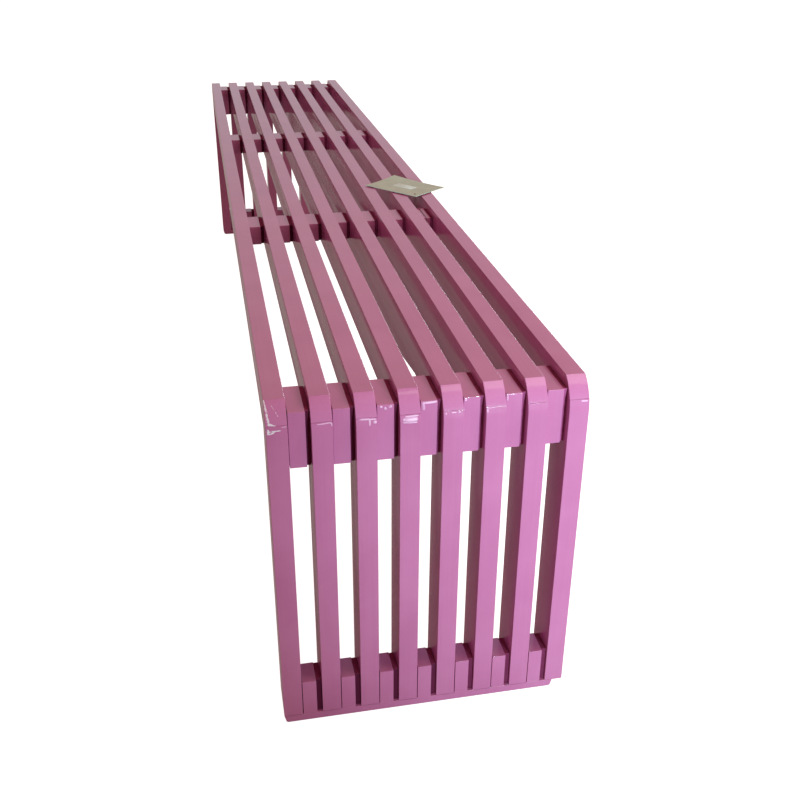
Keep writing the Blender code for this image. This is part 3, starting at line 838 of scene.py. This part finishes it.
def leg_corners(way):
    """A leg: its foot, its end face with the lower part of the round, and its top under the bar."""
    foot = RUNNER_THICKNESS - LEG_SINK
    near = [
        (LEG_INNER, foot, FOOT_ROUND, ARC_STEPS),
        (BENCH_END, foot, SEAM_ROUND, SEAM_STEPS),
        round_corner(LEG_TURN, math.pi / 2),
        (tangent_at(LEG_TURN, LAP_HEIGHT), LAP_HEIGHT, SEAM_ROUND, SEAM_STEPS),
        (LEG_INNER, LAP_HEIGHT, REBATE_ROUND, ARC_STEPS),
    ]
    return near if way > 0 else mirrored(near)


def box_corners(low_x, high_x, low_z, high_z, low_round, high_round):
    """A rectangle with one radius at its two lower corners and one at its two upper ones."""
    return [
        (low_x, low_z, low_round, ARC_STEPS),
        (high_x, low_z, low_round, ARC_STEPS),
        (high_x, high_z, high_round, ARC_STEPS),
        (low_x, high_z, high_round, ARC_STEPS),
    ]


def on_end(across, drop):
    """A place on the near end, given across the bench and down from the seat's top.

    Down to the middle of the round it stands on the round, and below it on the legs' flat.
    """
    height = SEAT_TOP - drop
    turn = math.acos(min(max((height - ROUND_CENTRE[1]) / CORNER_RADIUS, 0.0), 1.0))
    return np.array([on_round(turn)[0], across, height])


def paint_run(places, radius):
    """A shell: a run of paint, a low tube on a smooth path, thick in the middle, with round tips.

    At share t of its way the radius is the run's own times the fourth root of 4t(1 - t).
    """
    path = smooth_way(np.array(places), RUN_STEPS) + (RUN_LIFT, 0.0, 0.0)
    share = np.linspace(RUN_TIP, 1 - RUN_TIP, len(path))[:, None]
    size = RUN_SPREAD * radius * (4 * share * (1 - share)) ** 0.25
    outwards = (math.cos(RUN_TILT), 0.0, math.sin(RUN_TILT))
    return tube(path, size, RUN_SIDES, side=outwards, flat=RUN_HEIGHT)


def slat_middle(slat):
    """How far across the bench a slat's middle is."""
    low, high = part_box(f"near_leg_{slat}")
    return (low.y + high.y) / 2


def chip_lines(chips):
    """Chips of the paint, as lines in space on the chipped slat's near end."""
    middle = slat_middle(CHIPPED_SLAT)
    return [(on_end(middle + start[0], start[1]), on_end(middle + end[0], end[1]), width)
            for start, end, width in chips]


def add_slat(slat, looks):
    """One slat frame: a seat bar and the two legs that it lies on."""
    low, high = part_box(f"near_leg_{slat}")
    shell = plank(bar_corners(), low.y, high.y, SLAT_EASE)
    if slat == KEEL_BAR:
        inset = (high.y - low.y - KEEL_WIDTH) / 2
        shell = joined([shell, plank(keel_corners(), low.y + inset, high.y - inset, KEEL_ROUND)])
    look = looks["chipped_bar" if slat == CHIPPED_SLAT else "bar"]
    add_piece(f"painted_bar_{slat}", shell, look, "slat_paint", f"seat_bar_{slat}")
    for end, way in ENDS.items():
        shell = plank(leg_corners(way), low.y, high.y, SLAT_EASE)
        look = looks["chipped_leg" if slat == CHIPPED_SLAT else "leg"]
        add_piece(f"{end}_painted_leg_{slat}", shell, look, "slat_paint", f"{end}_leg_{slat}")


def gap_sides(gap):
    """The right side of the slat before a gap and the left side of the slat after it."""
    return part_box(f"near_leg_{gap}")[1].y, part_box(f"near_leg_{gap + 1}")[0].y


def block_shell(way, gap, slot, inner, outer, low_z, high_z, edge):
    """A spacer block close to the slat on its left, with a slot on its right.

    Inner and outer are how far from the bench's middle its back and its front are, on the end that
    way points to.
    """
    left, right = gap_sides(gap)
    low_x, high_x = sorted((way * inner, way * outer))
    corners = box_corners(low_x, high_x, low_z, high_z, edge, edge)
    return plank(corners, left + BLOCK_CREVICE, right - slot, edge)


def boss_shell(way, gap, slot, inner, outer, low_z, high_z):
    """The narrow boss that fills a block's slot a little behind the block's front."""
    right = gap_sides(gap)[1]
    low_x, high_x = sorted((way * (inner + BOSS_BACK), way * (outer - BOSS_INSET)))
    low_z, high_z = low_z + BOSS_ROUND, high_z - BOSS_DROP
    corners = box_corners(low_x, high_x, low_z, high_z, BOSS_ROUND, BOSS_ROUND)
    return plank(corners, right - slot - BOSS_ROOT, right - FIT_GAP, BOSS_ROUND)


def add_blocks(end, looks):
    """The spacer blocks of one end, rounded all over, and the bosses in their slots."""
    for row in ROWS:
        bosses = []
        for gap in GAPS:
            node = f"{end}_{row}_spacer_{gap}"
            low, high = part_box(node)
            inner, outer = sorted((abs(low.x), abs(high.x)))
            block = (ENDS[end], gap, BLOCK_SLOT, inner, outer, low.z, high.z)
            shell = block_shell(*block, BLOCK_ROUND)
            add_piece(f"{end}_{row}_block_{gap}", shell, looks["block"], "spacer_paint", node)
            bosses.append(boss_shell(*block))
        # The bosses carry the slots' painted shade
        add_piece(f"{end}_{row}_bosses", joined(bosses), looks["slot"], "spacer_paint")


def add_foot_rail(end, looks):
    """The runner under the legs of one end, with the blocks that stand on it between them.

    Below its end round r the runner's ends are drawn in by r - sqrt(r^2 - (r - z)^2) at height z.
    """
    node = f"{end}_foot_rail"
    low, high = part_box(node)
    corners = box_corners(low.x, high.x, 0.0, RUNNER_THICKNESS, RUNNER_LOW_ROUND, RUNNER_TOP_ROUND)
    places, *rest = plank(corners, low.y, high.y, RUNNER_LOW_ROUND)
    below = np.clip(RUNNER_END_ROUND - places[:, 2], 0.0, RUNNER_END_ROUND)
    inset = RUNNER_END_ROUND - np.sqrt(RUNNER_END_ROUND ** 2 - below ** 2)
    places[:, 1] = np.clip(places[:, 1], low.y + inset, high.y - inset)
    shells = [(places, *rest)]
    outer = BENCH_END - FOOT_BLOCK_RECESS
    inner = outer - FOOT_BLOCK_DEPTH
    foot = RUNNER_THICKNESS - FOOT_BLOCK_SINK
    blocks = [(ENDS[end], gap, FOOT_BLOCK_SLOT, inner, outer, foot, high.z) for gap in GAPS]
    shells += [block_shell(*block, FOOT_BLOCK_ROUND) for block in blocks]
    bosses = [boss_shell(*block) for block in blocks]
    add_piece(f"{end}_painted_rail", joined(shells), looks["block"], "rail_paint", node)
    # The foot bosses carry the slots' painted shade
    add_piece(f"{end}_foot_bosses", joined(bosses), looks["foot_slot"], "rail_paint")


def add_paint_runs(looks):
    """Runs and beads where the paint gathered: on the lap seams and on the blocks' upper edges."""
    seams, edges = [], []
    for slat, radius, places in SEAM_RUNS:
        middle = slat_middle(slat)
        seams.append(paint_run([on_end(middle + across, drop) for across, drop in places], radius))
    add_piece("seam_paint_runs", joined(seams), looks["run"], "slat_paint")
    front, top = BENCH_END - BLOCK_RECESS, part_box("near_corner_spacer_1")[1].z
    for gap, radius, places in BLOCK_RUNS:
        left = gap_sides(gap)[0]
        places = [(front, left + across, top - drop) for across, drop in places]
        edges.append(paint_run(places, radius))
    add_piece("block_paint_runs", joined(edges), looks["run"], "spacer_paint")


# Stage and light


def add_floor():
    """A pale floor that is white to the eye and takes the bench's shadow.

    To reflections it glows dimly, and only where the bench doesn't stand over it.
    """
    half = FLOOR_SIZE / 2
    mesh = bpy.data.meshes.new("floor")
    corners = [(-half, -half, 0), (half, -half, 0), (half, half, 0), (-half, half, 0)]
    mesh.from_pydata(corners, [], [(0, 1, 2, 3)])
    look = bpy.data.materials.new("pale_floor")
    look.use_nodes = True
    look.node_tree.nodes.clear()
    sketch = Sketch(look.node_tree)
    path = sketch.add("LightPath").outputs
    seen = sketch.math("ADD", path["Is Camera Ray"], path["Is Transmission Ray"])
    # Painted shade in reflections: the glow they see fades out where the bench stands over the
    # floor
    away = sketch.vector("ABSOLUTE", sketch.place()).outputs[0]
    away = sketch.vector("SUBTRACT", away, cad_box[1]).outputs[0]
    away = sketch.add("SeparateXYZ", {0: away}).outputs
    open_floor = sketch.ramp(sketch.math("MAXIMUM", away["X"], away["Y"]), *FLOOR_SHADE)
    shown = sketch.math("MULTIPLY", path["Is Glossy Ray"], open_floor)
    shown = sketch.math("MULTIPLY", shown, FLOOR_SHEEN)
    glow = sketch.math("ADD", sketch.math("MULTIPLY", seen, FLOOR_GLOW), shown)
    diffuse = sketch.add("BsdfDiffuse", {"Color": (*FLOOR_COLOUR, 1.0)})
    light = sketch.add("Emission", {"Strength": glow})
    both = sketch.add("AddShader", {0: diffuse.outputs[0], 1: light.outputs[0]})
    sketch.add("OutputMaterial", {"Surface": both.outputs[0]})
    mesh.materials.append(look)
    floor = bpy.data.objects.new("floor", mesh)
    bpy.context.scene.collection.objects.link(floor)


def add_lamp(name, kind, place, aim, power, colour):
    """A lamp at a place, turned to shine at another."""
    lamp = bpy.data.lights.new(name, kind)
    lamp.energy = power
    lamp.color = colour
    made = bpy.data.objects.new(name, lamp)
    made.location = place
    made.rotation_euler = (Vector(aim) - Vector(place)).to_track_quat("-Z", "Y").to_euler()
    bpy.context.scene.collection.objects.link(made)
    return lamp


def add_soft_lamp(name, place, aim, size, power, colour):
    """A broad lamp, a rectangle of the given sides."""
    lamp = add_lamp(name, "AREA", place, aim, power, colour)
    lamp.shape = "RECTANGLE"
    lamp.size, lamp.size_y = size


def add_lights():
    """A cool key low on the right that fades with distance, two soft lamps and a pale surround."""
    key = add_lamp("key", "SPOT", KEY_PLACE, KEY_AIM, KEY_POWER, KEY_COLOUR)
    key.spot_size = KEY_CONE
    key.spot_blend = 1.0
    key.shadow_soft_size = KEY_SIZE
    key.use_nodes = True
    sketch = Sketch(key.node_tree)
    distance = sketch.add("LightPath").outputs["Ray Length"]
    strength = sketch.ramp(distance, *KEY_REACH, 1.0, 0.0)
    sketch.tree.links.new(strength, key.node_tree.nodes["Emission"].inputs["Strength"])
    add_soft_lamp("overhead", TOP_PLACE, TOP_AIM, TOP_SIZE, TOP_POWER, TOP_COLOUR)
    add_soft_lamp("behind", BACK_PLACE, BACK_AIM, BACK_SIZE, BACK_POWER, BACK_COLOUR)
    world = bpy.data.worlds.new("surround")
    bpy.context.scene.world = world
    world.use_nodes = True
    sketch = Sketch(world.node_tree)
    path = sketch.add("LightPath").outputs
    seen = sketch.math("ADD", path["Is Camera Ray"], path["Is Transmission Ray"])
    colour = sketch.mix(path["Is Glossy Ray"], AMBIENT, SURROUND)
    colour = sketch.mix(seen, colour, (1.0, 1.0, 1.0))
    sketch.tree.links.new(colour, world.node_tree.nodes["Background"].inputs["Color"])


bpy.context.scene.view_settings.view_transform = "Standard"
groups = {
    "brushed_coat": make_brushed_coat(),
    "rubbed_edge": make_rubbed_edge(),
    "chip": make_chip(),
}
add_camera()
add_tag()
paints = {
    "bar": paint_look("bar_paint", ALONG_BAR),
    "leg": paint_look("leg_paint", ALONG_LEG),
    "block": paint_look("block_paint", ALONG_BLOCK),
    # The runs' paler colours are a painted highlight
    "run": paint_look("highlighted_run_paint", ALONG_BLOCK, (), (PAINT_PALE, PAINT_RUN_HIGHLIGHT), RUN_GLOSS),
    # Paints of the slots: painted shade
    "slot": shaded_slot_look("slot_shade_paint", SLOT_LIT),
    "foot_slot": shaded_slot_look("foot_slot_shade_paint", FOOT_SLOT_LIT),
    "chipped_bar": paint_look("chipped_bar_paint", ALONG_BAR, chip_lines(BAR_CHIPS)),
    "chipped_leg": paint_look("chipped_leg_paint", ALONG_LEG, chip_lines(LEG_CHIPS)),
}
rod_paint = rod_look()
for slat_number in SLATS:
    add_slat(slat_number, paints)
add_paint_runs(paints)
for end_name in ENDS:
    add_blocks(end_name, paints)
    add_foot_rail(end_name, paints)
    for row_name in ROWS:
        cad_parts[f"{end_name}_{row_name}_rod"].data.materials[0] = rod_paint
add_floor()
add_lights()
